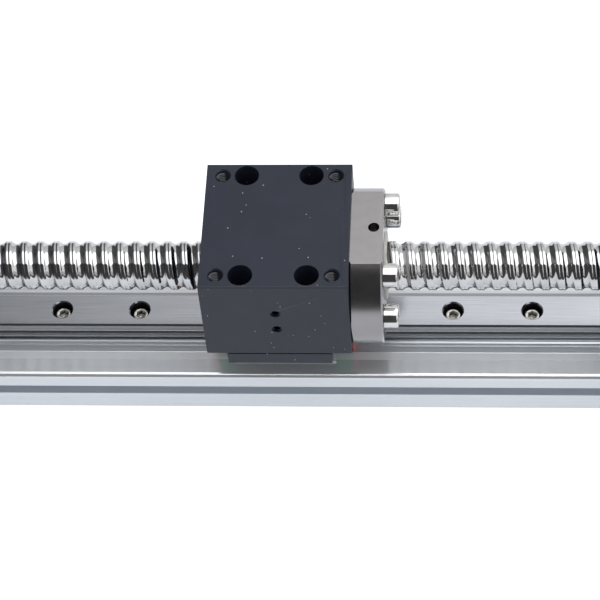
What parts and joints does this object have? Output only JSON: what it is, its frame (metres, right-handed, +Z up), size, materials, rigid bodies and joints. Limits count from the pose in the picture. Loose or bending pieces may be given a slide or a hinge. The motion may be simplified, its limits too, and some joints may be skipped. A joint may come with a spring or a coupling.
{
  "type": "ball screw linear module",
  "caption": "Linear module: a screw-driven block on a rail carriage, over a grooved aluminium base with a bearing plate at each end.",
  "frame": {"origin": "bottom centre of the module's box, on the surface that it stands on", "axes": "+Z up, +X along the screw from the drive end to the floating end"},
  "size_m": [0.2908, 0.048, 0.071],
  "materials": {
    "silver_aluminium": "clear anodised extrusion",
    "black_aluminium": "black anodised aluminium, satin",
    "ground_steel": "ground bearing steel",
    "polished_steel": "polished ball track",
    "plated_steel": "bright plated screw",
    "dark_steel": "black oxide",
    "bearing_steel": "fine ground",
    "green_plastic": "moulded",
    "red_plastic": "moulded seal",
    "white_plastic": "turned wiper",
    "rubber": "moulded"
  },
  "bodies": {
    "base": {"base_extrusion": "silver_aluminium", "guide_rail": "ground_steel", "rail_screws": "dark_steel", "fixed_end_plate": "black_aluminium", "floating_end_plate": "black_aluminium", "end_plate_screws": "plated_steel", "bearing_outer_rings": "bearing_steel", "fixed_bearing_cover": "black_aluminium", "floating_bearing_cover": "black_aluminium", "cover_screws": "plated_steel", "bumpers": "rubber"},
    "screw": {"ball_screw": "polished_steel", "bearing_inner_rings": "bearing_steel", "lock_nut": "dark_steel", "retaining_ring": "dark_steel"},
    "carriage": {"carriage_body": "ground_steel", "carriage_end_caps": "green_plastic", "carriage_end_seals": "red_plastic", "spacer_plate": "black_aluminium", "spacer_screws": "dark_steel", "nut_housing": "black_aluminium", "housing_screws": "dark_steel", "ball_nut": "ground_steel", "nut_wipers": "white_plastic", "flange_screws": "plated_steel"}
  },
  "joints": [
    {"name": "screw_turn", "type": "hinge", "parent": "base", "child": "screw", "pos_m": [0, 0, 0.05], "axis": [1, 0, 0], "range_deg": [-5257, 5545]},
    {"name": "carriage_slide", "type": "slide", "parent": "base", "child": "carriage", "axis": [1, 0, 0], "range_m": [-0.077, 0.073]}
  ],
  "couplings": [
    {"joint": "screw_turn", "follows": "carriage_slide", "rad_per_m": -1256.6}
  ]
}
